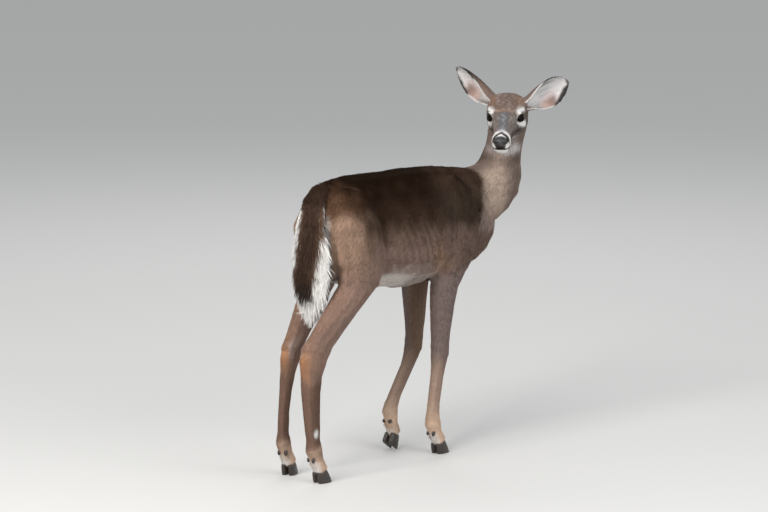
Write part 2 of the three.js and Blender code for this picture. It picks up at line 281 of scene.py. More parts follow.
# The region of each solid whose name ends in one of these words. The others have their own names.
REGION_OF = {
    "left": "ear", "right": "ear", "shoulder": "upper", "thigh": "upper", "forearm": "lower",
    "gaskin": "lower", "cannon": "cannon", "pastern": "pastern",
}
LONG_HAIRED = ("trunk", "neck", "upper", "lower", "tail")
horny = [n for n in sorted(nodes) if "hoof" in n or "claw" in n]
flesh = [n for n in sorted(nodes) if n not in horny and not n.startswith("eye")]
region_of_node = np.array([REGION_NAMES.index(REGION_OF.get(n.rsplit("_", 1)[-1], n)) for n in flesh])


def within(region, *names):
    return np.isin(region, [REGION_NAMES.index(name) for name in names])


flesh_parts = [node_arrays(node) for node in flesh]
flesh_surface = surface_of(flesh_parts)
node_of_triangle = np.repeat(np.arange(len(flesh)), [len(triangles) for _, triangles in flesh_parts])

# ---- The skin ----
SKIN_VOXEL = 0.0033
SMOOTH_ROUNDS = 60
SETTLE_ROUNDS = 40
BLEND_ROUNDS = 14
TAIL_NARROWING = [0.45, 0.30, 0]
NEAR_SIDE_SHARE = 0.4
TAIL_LIFT = 0.03


def tail_core(points):
    """The tail's own flesh, much narrower than the hair round it."""
    core = points.copy()
    fringe = ramp(0.86, 0.78, points[:, 2])[:, None]
    inward = placed(TAIL_MIDDLE) - core
    core += inward * TAIL_NARROWING * fringe * np.where(inward[:, 1:2] > 0, [1, NEAR_SIDE_SHARE, 1], 1)
    core[:, 2] += TAIL_LIFT * ramp(0.62, 0.46, points[:, 2])
    return core


def subdivided(mesh, chosen):
    """Cuts in four each polygon whose vertices are all chosen."""
    cutter = bmesh.new()
    cutter.from_mesh(mesh)
    cutter.edges.ensure_lookup_table()
    wanted = [e for e in cutter.edges if chosen[e.verts[0].index] and chosen[e.verts[1].index]]
    bmesh.ops.subdivide_edges(cutter, edges=wanted, cuts=1, use_grid_fill=True)
    cutter.to_mesh(mesh)
    cutter.free()


def mirrored(place):
    """Head places folded onto her left side."""
    return np.abs(place) * [0, 1, 0] + place * [1, 0, 1]


def finer_head(mesh):
    """Smaller faces over the head, and smaller again round the eyes, nose and mouth."""
    place = head_mm(points_of(mesh))
    subdivided(mesh, (place[:, 0] > -10) & (np.abs(place[:, 1]) < 72) & (np.abs(place[:, 2]) < 90))
    for eye_reach, nose_back in ((26, 190), (19, 252)):
        place = head_mm(points_of(mesh))
        near_eye = np.linalg.norm(mirrored(place) - EYE_PLACE, axis=1) < eye_reach
        near_nose = (place[:, 0] > nose_back) & (np.abs(place[:, 1]) < 40) & (np.abs(place[:, 2]) < 60)
        subdivided(mesh, near_eye | near_nose)


# The opening between the lids, on the ball: which way its middle faces, and its half sizes along the ball.
EYE_FACING = unit(np.array([0.60, 0.78, 0.16]))
EYE_CORNER = np.array([0.9, -0.42, -0.22])
EYE_HALF_LENGTH = 17.0
EYE_UPPER = 10.0
EYE_LOWER = 9.0
LID_THICKNESS = 1.5
LID_REACH = 7.0
eye_front = unit(EYE_CORNER - EYE_FACING * (EYE_CORNER @ EYE_FACING))
eye_upward = np.cross(eye_front, EYE_FACING)


def round_eye(place):
    """Where head places lie round the nearer eye, folded to her left: the ray from the ball's middle, the
    distance, and, along the ball, how far it is inside the lids and above the middle between them."""
    away = mirrored(place) - EYE_PLACE
    distance = np.linalg.norm(away, axis=1)
    ray = away / np.maximum(distance, 1e-6)[:, None]
    angle = np.arccos(np.clip(ray @ EYE_FACING, -1, 1))
    forward, upward = ray @ eye_front, ray @ eye_upward
    spread = EYE_RADIUS * angle / np.maximum(np.hypot(forward, upward), 1e-6)
    across, rise = forward * spread, upward * spread
    arch = np.clip(1 - np.abs(across / EYE_HALF_LENGTH) ** 2.2, 0, 1) ** 0.7
    within_lids = np.minimum(EYE_UPPER * arch - rise, rise + EYE_LOWER * arch)
    beyond = -np.hypot(np.abs(across) - EYE_HALF_LENGTH, rise)
    inside = np.where(np.abs(across) < EYE_HALF_LENGTH, within_lids, beyond)
    return ray, distance, inside - np.maximum(distance - EYE_RADIUS - LID_REACH, 0), rise


def lids(place):
    """The skin drawn over each eyeball into lids, and back behind the ball in the opening between them."""
    ray, distance, inside, rise = round_eye(place)
    lid = EYE_RADIUS + LID_THICKNESS + 0.9 * bump(inside, -2.6, 2.2)
    lid = lid - 0.7 * bump(inside, -6.6, 1.3) * ramp(0, 4, rise)
    lid = lid - (lid - EYE_RADIUS + 1.6) * ramp(-0.7, 0.7, inside)
    share = ramp(13, 6, -inside) * ramp(34, 25, distance)
    change = (lid - distance) * share
    fold = np.where(place[:, 1] < 0, -1.0, 1.0)[:, None] * [0, 1, 0] + [1, 0, 1]
    return place + ray * fold * change[:, None]


def mouth_line(s):
    """How high the slit of the mouth lies, at each place along the muzzle."""
    return -21.5 + 0.05 * (275 - s)


# The forms of the face. Each has its height in millimetres, its middle and reach along the skull, its
# middle and reach up it, and where across the skull it begins and where it is full.
FACE_FORMS = {
    "brow_ridge": (2.0, 96, 15, 39, 7, 30, 42), "cheekbone": (1.8, 72, 34, -8, 8, 40, 50),
    "temple": (-1.8, 60, 18, 30, 12, 34, 48), "forehead_dip": (-1.6, 128, 12, 36, 12, 30, 16),
    "cheek_hollow": (-1.2, 158, 26, -10, 14, 18, 30), "tear_pit": (-1.4, 131, 5, 12, 2.6, 26, 32),
    "whisker_pad": (1.3, 246, 18, -9, 9, 14, 24),
}


def face_forms(place):
    """How far out the skin stands at each place on the head, in millimetres, apart from the lids."""
    s, l, h = place.T
    raised = np.zeros(len(place))
    for height, s_middle, s_reach, h_middle, h_reach, begin, full in FACE_FORMS.values():
        form = height * bump(s, s_middle, s_reach) * bump(h, h_middle, h_reach)
        raised += form * ramp(begin, full, np.abs(l))
    on_mouth = ramp(184, 204, s)
    raised -= 2.8 * bump(h, mouth_line(s), 1.5) * on_mouth
    raised += 0.9 * bump(h, mouth_line(s) + 5, 3.0) * on_mouth
    raised += 1.1 * bump(h, mouth_line(s) - 6, 4.0) * on_mouth * ramp(262, 246, s)
    raised -= 1.2 * bump(l, 0, 1.2) * ramp(276, 284, s) * ramp(2, -6, h)
    return raised


NOSTRIL = np.array([281, 12.5, 3.5])


def nostrils(place):
    """Comma-shaped pits in the nose, opening forwards and outwards, and a chin set back under the lip."""
    moved = place.copy()
    for out in (1, -1):
        away = place - NOSTRIL * [1, out, 1]
        turned = away[:, 1] * out
        curl = away[:, 2] - 0.10 * (turned - 1) ** 2 + 1.2
        depth = np.exp(-((turned / 6.0) ** 2) - ((curl / 3.2) ** 2)) * ramp(258, 268, place[:, 0])
        moved -= np.array([7.5, -out * 3.0, 0.5]) * depth[:, None]
        rim = np.exp(-(((turned - 2) / 9.0) ** 2) - (((away[:, 2] - 1) / 7.0) ** 2)) - depth
        moved += np.array([0.6, out * 1.5, 0.7]) * (rim * ramp(252, 262, place[:, 0]))[:, None]
    moved[:, 0] -= 4.0 * ramp(262, 272, place[:, 0]) * ramp(-22, -26, place[:, 2])
    return moved


# The forms of the body by each leg. Each has the joint of the leg that it is set out from, how far ahead
# of it, how far across the body, and how high its middle is, its reach along and up, and its height.
BODY_FORMS = {
    "fore": {
        "shoulder_point": (1, 34, 88, 672, 28, 34, 4), "upper_arm": (2, 18, 100, 640, 44, 40, 4),
        "behind_arm": (2, -56, 110, 655, 24, 80, -4), "elbow": (2, -24, 90, 585, 16, 18, 5),
        "edge_of_blade": (1, -6, 80, 805, 16, 60, -2.5),
    },
    "hind": {
        "flank": (1, 140, 100, 760, 44, 50, -5), "hip_bone": (1, 92, 90, 858, 26, 18, 3),
        "stifle": (1, 70, 105, 640, 28, 44, 4), "before_stifle": (1, 112, 105, 640, 18, 70, -3),
        "back_of_thigh": (1, -56, 90, 690, 16, 90, -3),
    },
}
RIB_SPACING = 30
KNEE = 3
FETLOCK = 4


def body_forms(place, normals):
    """Muscle and bone under the coat of the body and legs, in millimetres out."""
    x, y, z = place.T
    sideways = ramp(0.3, 0.8, np.abs(normals[:, 1]))
    raised = np.zeros(len(place))
    for leg, joints in LEGS.items():
        out = -1 if "right" in leg else 1
        for joint, ahead, across, up, x_reach, z_reach, height in BODY_FORMS[leg[:4]].values():
            form = height * bump(x, joints[joint][0] + ahead, x_reach) * bump(z, up, z_reach)
            raised += form * ramp(0, 30, y * out - across + 60) * sideways
    ribs = np.sin((x + 0.35 * (z - 700)) / RIB_SPACING * 2 * np.pi)
    on_ribs = ramp(-190, -120, x) * ramp(90, 40, x) * ramp(600, 650, z) * ramp(800, 720, z)
    raised += 0.5 * ribs * on_ribs * sideways
    return raised + 1.2 * smooth_noise(place, 120, 3) * ramp(420, 560, z)


def leg_forms(place, normals, label):
    """Bone and tendon under the thin hair of the lower legs, in millimetres out."""
    raised = np.zeros(len(place))
    for leg, places in LEGS.items():
        mine = np.isin(label, [i for i, node in enumerate(flesh) if node.startswith(leg)])
        joints = np.array(places, float)

        def at_joint(k):
            """Height above the joint, the shares in front of it and behind, and how forward it faces."""
            axis = unit(unit(joints[k - 1] - joints[k]) + unit(joints[k] - joints[k + 1]))
            forward = normals[mine] @ unit(np.cross([0, 1, 0], axis))
            rise = (place[mine] - joints[k]) @ axis
            return rise, ramp(0.1, 0.8, forward), ramp(0.1, 0.8, -forward), forward

        shape = np.zeros(mine.sum())
        rise, front, rear, forward = at_joint(KNEE)
        if leg.startswith("fore"):
            shape += 2.0 * bump(rise, 3, 20) * front + 2.4 * bump(rise, 18, 12) * rear
            shape -= 1.7 * bump(rise, -44, 20) + 1.5 * bump(rise, 58, 24) * (1 - rear)
        else:
            shape += 2.6 * bump(rise, 24, 15) * rear + 1.4 * bump(rise, -8, 18) * front
            shape -= 4.2 * bump(forward, -0.35, 0.3) * bump(rise, 84, 40)
            shape -= 1.8 * bump(rise, -52, 22) * (1 - 0.5 * front) + 1.2 * bump(rise, 46, 18) * front
        rise, front, rear, forward = at_joint(FETLOCK)
        shape += 1.6 * bump(rise, -2, 13) * rear + 0.8 * bump(rise, 0, 12)
        shape -= 1.6 * bump(rise, 34, 17)
        shape -= 1.8 * bump(forward, -0.3, 0.28) * ramp(24, 50, rise) * ramp(175, 140, rise)
        raised[mine] = shape
    return raised


def build_skin():
    """The skin, the node that each of its vertices belongs to, and its edges."""
    parts = [
        (tail_core(points) if node == "tail" else points, triangles)
        for node, (points, triangles) in zip(flesh, flesh_parts)
    ]
    parts += [node_arrays("eye_left"), node_arrays("eye_right")]
    made = remeshed("skin", parts, SKIN_VOXEL)
    mesh = made.data
    raw, edges = points_of(mesh), edges_of(mesh)
    raw_surface = BVHTree.FromPolygons(raw.tolist(), [tuple(f.vertices) for f in mesh.polygons])
    region = region_of_node[node_of_triangle[nearest(flesh_surface, raw)[0]]]
    held = averaged(REGION_ROWS[region, 0], edges, 6)
    points = averaged(raw, edges, SMOOTH_ROUNDS, held)
    for _ in range(2):
        set_points(mesh, points)
        height = averaged(nearest(raw_surface, points)[1], edges, SETTLE_ROUNDS, held)
        points -= normals_of(mesh) * height[:, None]
    set_points(mesh, points)
    finer_head(mesh)
    points, edges = points_of(mesh), edges_of(mesh)
    label = node_of_triangle[nearest(flesh_surface, points)[0]]
    region = region_of_node[label]
    on_head = within(region, *HEAD_NODES)
    points = averaged(points, edges, 4, np.where(on_head, 0.0, 1.0))
    set_points(mesh, points)
    coronet = ramp(75, 50, source_mm(points)[:, 2])
    depth = averaged(REGION_ROWS[region, 1] * (1 - 0.7 * coronet), edges, BLEND_ROUNDS)
    forms = body_forms(source_mm(points), normals_of(mesh)) * ramp(0.35, 0.5, points[:, 2])
    forms *= ~on_head & ~within(region, "ear", "tail")
    forms += np.minimum(leg_forms(source_mm(points), normals_of(mesh), label), 0.7 * depth)
    points += normals_of(mesh) * ((averaged(forms, edges, 4) - depth) / 1000)[:, None]
    set_points(mesh, points)
    place = head_mm(points)
    face = on_head & (place[:, 0] > -5)
    points += normals_of(mesh) * (face_forms(place) * face / 1000)[:, None]
    place = head_mm(points)
    place[face] = nostrils(lids(place[face]))
    set_points(mesh, from_head(place))
    return made, label, edges


# ---- Markings and painted light and shade: the colour of skin and hair at any place ----
# Some of these paints hold painted light and shade besides the coat's colour: side, upper_side and shoulder
# are partly painted shade on her right flank, haunch is partly painted light on the rump, neck is mostly
# painted light on the side of the neck that faces the lamps, and streak is also laid on as painted shade
# under the throat.
PAINT = {name: linear(value) for name, value in {
    "ridge": (30, 17, 7), "upper_side": (52, 38, 29), "side": (84, 67, 56), "low_side": (122, 101, 91),
    "haunch": (154, 127, 108), "haunch_top": (98, 73, 57), "croup": (74, 53, 38), "thigh": (132, 108, 95),
    "shoulder": (61, 50, 41), "withers": (60, 44, 34), "arm": (103, 85, 76),
    "belly": (206, 197, 189), "tan": (150, 118, 92), "white": (230, 227, 223),
    "bright": (240, 237, 233), "neck": (168, 149, 134),
    "neck_side": (114, 99, 91), "nape": (62, 48, 37), "chest": (134, 117, 109), "cheek": (92, 82, 76),
    "forehead": (120, 101, 92), "rust": (142, 112, 92), "bridge": (103, 102, 104), "dark": (40, 34, 31),
    "black": (20, 18, 17), "hock": (174, 126, 92), "gaskin": (133, 110, 99), "hind_shank": (106, 83, 71),
    "forearm": (122, 106, 101), "inner_leg": (128, 106, 91), "fore_shank": (158, 134, 121),
    "foot": (204, 175, 152), "tail": (62, 47, 39), "tail_edge": (88, 68, 55), "ear_back": (96, 82, 74),
    "ear_skin": (206, 178, 176), "ear_lining": (214, 211, 209), "grey": (134, 134, 138),
    "ear_flush": (188, 158, 147), "ear_low": (138, 110, 97),
    "grizzle": (92, 76, 68), "rust_pale": (172, 143, 125), "face": (116, 105, 99), "throat": (190, 184, 183),
    "streak": (50, 42, 38),
}.items()}


def layered(base, *layers):
    """The base with others laid over it in turn, each with its share, cut off at 0 and 1. The base and
    the others are names of paints, or colours."""
    colour = PAINT[base] if isinstance(base, str) else base
    for over, share in layers:
        colour = mix(colour, PAINT[over] if isinstance(over, str) else over, np.clip(share, 0, 1))
    return colour


def gradient(values, *stops):
    """The paints of (place, name) stops, blended along values."""
    colour = np.repeat(PAINT[stops[0][1]][None], len(values), axis=0)
    for (before, _), (after, name) in zip(stops[:-1], stops[1:]):
        colour = layered(colour, (name, (values - before) / (after - before)))
    return colour


def neck_edge(x, z, blur):
    """How far a place is along the body, measured so that the neck begins at one value from top to chest."""
    return x + blur - 0.5 * np.clip(z - 785, -60, 30)


def paint_body(p, n):
    """The ground colour of trunk, shoulders and thighs: dark along the top, paler down the sides, with
    painted shade darkening the flank and shoulder and painted light on the haunch, which faces the key lamp.
    """
    x, y, z = source_mm(p).T
    blur = 10 * smooth_noise(p, 0.06, 11)
    high = z + blur - 26 * n[:, 2]
    flank = gradient(
        high, (590, "low_side"), (675, "low_side"), (725, "side"), (772, "upper_side"), (850, "ridge"))
    haunch = gradient(
        high, (590, "thigh"), (690, "haunch"), (765, "haunch"), (805, "haunch_top"), (845, "croup"),
        (875, "ridge"))
    shoulder = gradient(
        high, (600, "arm"), (690, "arm"), (735, "shoulder"), (790, "shoulder"), (840, "withers"),
        (885, "ridge"))
    behind_elbow = bump(x + 0.5 * (z - 630), 40, 30) * bump(z, 630, 46) * ramp(60, 100, np.abs(y))
    chest = layered(paint_neck_side(n, x, z), ("arm", ramp(705, 670, high)))
    return layered(
        flank,
        (haunch, ramp(-245, -385, x + 1.2 * blur)),
        (shoulder, ramp(20, 110, x + blur)),
        ("tan", 0.6 * behind_elbow),
        (chest, ramp(285, 315, neck_edge(x, z, 0.6 * blur) + 0.3 * np.maximum(740 - z, 0))),
    )


# Which way the neck's throat faces, in degrees from straight ahead, at heights up the neck.
NECK_HEIGHTS = [760, 836, 894, 951, 1002]
NECK_HEADINGS = [-5, -26, -60, -105, -136]


def paint_neck_side(n, x, z):
    """The neck: palest along its side, as painted light on the side that faces the lamps, darker towards the
    throat and the back of the neck.
    """
    # lit is painted light: the side of the neck that faces her right, where the key and fill lamps stand,
    # fading higher up.
    lit = ramp(430, 370, x) * ramp(285, 345, x) * ramp(0.0, 0.8, -n[:, 1]) * (1 - 0.5 * ramp(835, 885, z))
    heading = np.radians(np.interp(z, NECK_HEIGHTS, NECK_HEADINGS))
    behind = -(n[:, 0] * np.cos(heading) + n[:, 1] * np.sin(heading))
    return layered(
        "neck_side",
        ("neck", 0.12 + 0.88 * lit),
        ("chest", ramp(750, 700, z)),
        ("nape", 0.75 * ramp(0.4, 0.95, behind)),
    )


def paint_trunk(p, n):
    x, y, z = source_mm(p).T
    blur = 12 * smooth_noise(p, 0.05, 11)
    underneath = ramp(-0.25, -0.7, n[:, 2]) * ramp(640, 590, z + blur) * (0.35 + 0.65 * ramp(-20, -100, x))
    groin = ramp(-110, -190, x) * ramp(600, 570, z + 0.6 * blur) * ramp(70, 50, np.abs(y))
    seat = ramp(-400, -424, x) * ramp(820, 780, z) * ramp(62, 42, np.abs(y))
    belly = np.maximum(underneath * ramp(220, 120, x), groin)
    return layered(paint_body(p, n), ("belly", belly), ("white", seat))


def paint_neck(p, n):
    s, l, h = head_mm(p).T
    x, _, z = source_mm(p).T
    blur = 12 * smooth_noise(p, 0.045, 12)
    front = ramp(-0.2, 0.3, n @ along - 0.3 * (n @ lift))
    # The throat patch is laid on at a quarter on her right side, as painted shade there.
    throat = bump(s, 88, 24) * bump(h, -88, 12) * front * (0.25 + 0.75 * ramp(-22, 2, l))
    # shade is painted shade: a darker band under the chin, below the throat patch, in the streak colour.
    shade = bump(s, 90, 34) * bump(h, -119, 16) * front
    return layered(
        paint_body(p, n),
        (paint_neck_side(n, x, z), ramp(284, 316, neck_edge(x, z, 0.5 * blur))),
        ("throat", np.minimum(1.5 * throat, 0.92)),
        ("streak", 0.42 * shade),
    )


def muzzle_bands(s, l, h):
    """How far along the muzzle its bands lie: they run forwards from its top down its sides."""
    return s - 0.32 * np.clip(np.degrees(np.arctan2(np.abs(l), h + 6)), 0, 98)


def paint_brow(colour, s, l, h, blur):
    """Forehead, the rusty line between the brows, and the white above and below each eye."""
    out = np.abs(l)
    grizzle = 0.5 + 0.5 * np.sin((np.hypot(s - 128, l) + 1.5 * blur) * 0.9)
    temple = bump(s, 58, 34) * bump(out, 44, 16) * ramp(24, 36, h)
    line = bump(s + blur, 123, 6) * ramp(34, 26, out) * ramp(34, 42, h)
    brow = bump(h, 35.5 - 0.008 * (s - 100) ** 2, 6.2) * ramp(22, 34, out)
    brow = 1.25 * brow * ramp(66, 78, s) * ramp(126, 108, s)
    below = bump(h, 5 - 0.5 * (122 - s), 3.5 + 2.5 * ramp(135, 122, s) + 3 * bump(s, 94, 18))
    below = below * ramp(33, 38, out) * ramp(141, 132, s) * ramp(66, 75, s)
    inside = round_eye(np.stack([s, l, h], axis=1))[2]
    ring = 0.35 * bump(inside, -5, 3.6) * ramp(24, 32, out)
    gland = bump(s, 129, 6) * bump(h, 15, 6) * ramp(30, 35, out)
    return layered(
        colour,
        (layered("forehead", ("grizzle", 0.45 * grizzle)), ramp(132, 118, s + blur) * ramp(10, 30, h)),
        ("rust", 0.7 * temple),
        ("rust_pale", 0.5 * line),
        ("bright", np.minimum(np.maximum.reduce([brow, 1.6 * below, ring]) + 0.06 * blur, 0.96)),
        ("dark", 0.7 * gland),
        ("black", ramp(-3.4, -1.8, inside)),
    )


def paint_muzzle(colour, s, l, h, blur):
    """The white and black bands round the nose, the lips and the chin."""
    out = np.abs(l)
    angle = np.degrees(np.arctan2(out, h + 6))
    bands = muzzle_bands(s, l, h) + 0.5 * blur
    above = h - mouth_line(s)
    upper = ramp(-3, 1, above)
    outer = bump(bands, 222, 7 + 2 * ramp(40, 0, angle)) * (0.75 + 0.25 * ramp(5, 24, angle))
    inner = bump(bands, 248.5, 4.5) * ramp(50, 34, angle)
    wedge = bump(out, 20.5, 2.5 + 2.5 * ramp(4, -16, h)) * ramp(254, 262, s) * ramp(3, -3, h) * upper
    corner = bump(s, 246, 15) * bump(h, -24, 8) * ramp(18, 23, out)
    lips = bump(h, mouth_line(s), 1.8) * ramp(196, 215, s)
    return layered(
        colour,
        ("white", np.clip(1.5 * outer, 0, 1) * upper * (0.6 + 0.4 * ramp(8, 30, angle))),
        ("dark", 0.92 * (ramp(230, 233.5, bands) * upper)),
        ("white", 1.7 * inner),
        ("white", 1.8 * wedge),
        ("white", ramp(-2, -5, above) * ramp(200, 222, s + blur)),
        ("dark", 0.9 * corner),
        ("black", 0.95 * lips),
    )


# How high the dark streak on the cheek lies, at places along the skull. The streak is partly the doe's own
# darker hair and partly painted shade on the side of the muzzle.
STREAK_PLACES = [92, 127, 150, 185, 216]
STREAK_HEIGHTS = [-34, -21, -15, -8, -4]


def paint_head(p, _):
    s, l, h = head_mm(p).T
    out = np.abs(l)
    blur = 2.2 * smooth_noise(p, 0.016, 14)
    bridge = ramp(122, 140, s + blur) * ramp(2, 16, h) * ramp(24, 6, out + 0.5 * blur)
    middle = np.interp(s, STREAK_PLACES, STREAK_HEIGHTS)
    # The streak: partly darker hair, partly painted shade.
    streak = bump(h + 0.8 * blur, middle, 8) * ramp(78, 112, s) * ramp(238, 222, s) * ramp(20, 27, out)
    under = ramp(-44, -56, h + blur) * ramp(70, 100, s)
    colour = layered(
        "neck_side",
        ("cheek", ramp(0, 40, s)),
        ("face", ramp(112, 150, s) * ramp(-14, 2, h)),
        ("bridge", bridge),
        ("grey", 0.6 * ramp(184, 210, s) * ramp(16, 4, out) * ramp(4, 14, h)),
        ("streak", 0.92 * streak),
    )
    colour = layered(paint_brow(colour, s, l, h, blur), ("throat", 0.8 * under))
    return layered(paint_muzzle(colour, s, l, h, blur), ("black", nose_leather(s, l, h)))


def nose_leather(s, l, h):
    """1 on the bare pad of the nose and the lip below it, 0 on hair."""
    pad = ramp(255.5, 258, muzzle_bands(s, l, h)) * ramp(-22.5, -20.5, h)
    return pad * ramp(21, 19, np.abs(l) + 0.35 * np.clip(-h, 0, 12))


# Where the tail's dark stripe ends on either side, in millimetres, at heights up the tail. The hair fans
# out and hangs down from where it grows.
STRIPE_HEIGHTS = [545, 575, 630, 650, 700, 785, 830]
STRIPE_LEFT = [30, 46, 56, 42, 34, 24, 60]
STRIPE_RIGHT = [-20, -30, -32, -36, -47, -54, -60]
HAIR_FAN = 1.15
HAIR_DROP = 24


def paint_tail(p, n):
    """A dark stripe between white fringes, and white underneath."""
    _, y, z = source_mm(p).T * [[1], [HAIR_FAN], [1]] - [[0], [0], [HAIR_DROP]]
    blur = 4 * smooth_noise(p, 0.02, 15) + 3 * smooth_noise(p * [1, 1, 0.3], 0.006, 16)
    left, right = np.interp(z, STRIPE_HEIGHTS, STRIPE_LEFT), np.interp(z, STRIPE_HEIGHTS, STRIPE_RIGHT)
    beyond = np.maximum(y - left, right - y) + blur
    stripe = ramp(5, -4, beyond) * ramp(530, 552, z + 2 * blur)
    outer = ramp(0.35, 0.0, n[:, 0])
    brown = layered(
        "tail_edge",
        ("tail", ramp(-4, -26, beyond)),
        ("dark", 0.85 * ramp(640, 560, z)),
        ("ridge", 0.4 * ramp(790, 840, z)),
    )
    return layered("white", (brown, np.maximum(stripe * outer, ramp(796, 818, z + blur))))


def ear_place(name, p):
    """How far along the ear, how far round its curl from edge to edge, and the outward way there. Round is
    positive at the ear's upper edge."""
    ear = EARS[name]
    up = unit(np.array(ear["reach"]) @ HEAD_AXES)
    opening = np.array(ear["mouth"]) @ HEAD_AXES
    opening = unit(opening - up * (opening @ up))
    across = np.cross(opening, up)
    away = (p - from_head(ear["base"])) * 1000
    share = away @ up / EAR_LENGTH
    radius = np.interp(share, EAR_SHARE, EAR_CURVE)
    forward = away @ opening - (6 * share ** 2 + 14 + (radius - 16) * 0.7)
    sideways = away @ across
    half = np.radians(np.interp(share, EAR_SHARE, EAR_HALF_ANGLE))
    round_ear = np.arctan2(sideways, -forward) / half * (1 if name == "ear_left" else -1)
    return share, round_ear, unit(forward[:, None] * opening + sideways[:, None] * across)


def base_tuft(share, turn):
    """The tuft of white hair that stands in the mouth of the ear."""
    return bump(share, 0.15, 0.11) * bump(turn, -0.08, 0.4)


def paint_ear(name, p, n):
    """Brown behind; inside white with grey streaks, rusty low down, with a black rim round the outer half."""
    share, turn, outward = ear_place(name, p)
    inner = ramp(0.2, -0.2, np.sum(n * outward, axis=1)) * ramp(0.04, 0.12, share)
    blur = smooth_noise(p, 0.012, 16)
    back = gradient(share, (0, "neck_side"), (0.2, "forehead"), (0.45, "ear_back"), (1, "ear_back"))
    streak = bump(turn + 0.05 * blur, 0.60, 0.17) * bump(share, 0.5, 0.2)
    streak = streak + 0.5 * bump(turn + 0.04 * blur, 0.16, 0.08) * bump(share, 0.48, 0.2)
    streak = streak + 0.35 * bump(turn, -0.12, 0.06) * bump(share, 0.4, 0.16)
    low = ramp(-0.24, -0.5, turn + 0.05 * blur)
    rusty = gradient(share, (0.2, "grizzle"), (0.36, "ear_flush"), (0.5, "ear_low"), (0.66, "ear_back"))
    lining = layered(
        "ear_lining",
        ("grey", streak),
        ("ear_skin", 0.5 * bump(share, 0.55, 0.16) * ramp(0.1, -0.3, turn)),
        (rusty, 0.85 * low * ramp(0.18, 0.34, share + 0.02 * blur) * ramp(0.72, 0.56, share)),
        ("cheek", 0.7 * low * ramp(0.3, 0.2, share)),
        ("bright", 1.8 * base_tuft(share, turn)),
    )
    edge = ramp(0.88, 0.96, np.abs(turn))
    reach_in = (0.52 if name == "ear_left" else 0.14) * ramp(0.55, 0.9, share)
    low_rim = ramp(0.08, 0.0, turn + 0.94 - reach_in + 0.05 * blur) * ramp(0.5, 0.58, share)
    high_rim = ramp(0.92, 0.97, turn) * ramp(0.4, 0.5, share)
    rim = np.maximum.reduce([low_rim, high_rim, ramp(0.93, 0.97, share)])
    dusky = (1 - inner) * ramp(0.3, 0.75, share) * (0.25 + 0.6 * ramp(0.55, 0.95, np.abs(turn)))
    return layered(
        back,
        (lining, inner),
        ("white", 0.85 * edge * ramp(0.56, 0.48, share)),
        ("black", np.maximum(0.95 * rim, dusky)),
    )


def paint_leg(node, p, n):
    x, _, z = source_mm(p).T
    out = 1 if "left" in node else -1
    inner = ramp(0.1, 0.75, -n[:, 1] * out)
    back = ramp(0.1, 0.8, -n[:, 0])
    blur = 12 * smooth_noise(p, 0.04, 17)
    heel = ramp(0.2, 0.8, -n[:, 0]) * ramp(84, 60, z + 0.5 * blur)
    if node.startswith("fore"):
        layers = [
            ("forearm", ramp(620, 540, z + blur)),
            ("inner_leg", inner * ramp(620, 540, z)),
            ("dark", 0.35 * ramp(0.2, 0.9, n[:, 0]) * ramp(600, 540, z) * ramp(380, 430, z)),
            ("fore_shank", ramp(325, 250, z + blur)),
            ("foot", 0.35 * back * ramp(340, 260, z)),
            ("foot", ramp(195, 100, z + blur)),
        ]
    else:
        fetlock_x = LEGS[node.rsplit("_", 1)[0]][FETLOCK][0]
        gland = bump(z, 160, 15) * bump(x, fetlock_x - 10, 9) * ramp(0.4, 0.8, n[:, 1] * out)
        hock_line = bump(z, 400, 24) * bump(n[:, 0], -0.45, 0.22) * inner
        groin = inner * ramp(540, 590, z) * ramp(-320, -240, x)
        layers = [
            ("gaskin", ramp(640, 560, z + blur)),
            ("hock", 0.15 * back * ramp(620, 560, z)),
            ("hock", bump(z + blur, 372, 46) * (0.1 + 0.75 * ramp(0.2, 1.0, -n[:, 0]))),
            ("hind_shank", ramp(340, 290, z + blur) * (1 - 0.4 * back)),
            ("white", ramp(0.3, 0.7, gland)),
            ("white", 0.3 * hock_line),
            ("belly", 0.8 * groin),
            ("foot", 0.85 * ramp(135, 60, z + blur)),
        ]
    return layered(paint_body(p, n), *layers, ("white", 0.7 * heel))


def paint(points, normals, label):
    """The coat's colour at each point. Where regions meet, their paints are blended afterwards."""
    single = {"trunk": paint_trunk, "neck": paint_neck, "tail": paint_tail}
    single |= dict.fromkeys(HEAD_NODES, paint_head)
    colour = np.zeros((len(points), 3))
    for i, node in enumerate(flesh):
        mine = label == i
        p, n = points[mine], normals[mine]
        if node in single:
            colour[mine] = single[node](p, n)
        else:
            colour[mine] = (paint_ear if node in EARS else paint_leg)(node, p, n)
    return np.clip(colour, 0, 1)


# ---- The lie of the coat ----
def along_line(points, line):
    """For each point, the direction of the nearest stretch of a line of points."""
    line = np.asarray(line)
    best = np.full(len(points), np.inf)
    found = np.zeros((len(points), 3))
    for a, b in zip(line[:-1], line[1:]):
        t = np.clip((points - a) @ (b - a) / ((b - a) @ (b - a)), 0, 1)
        gap = np.linalg.norm(points - a - t[:, None] * (b - a), axis=1)
        closer = gap < best
        best[closer] = gap[closer]
        found[closer] = unit(b - a)
    return found


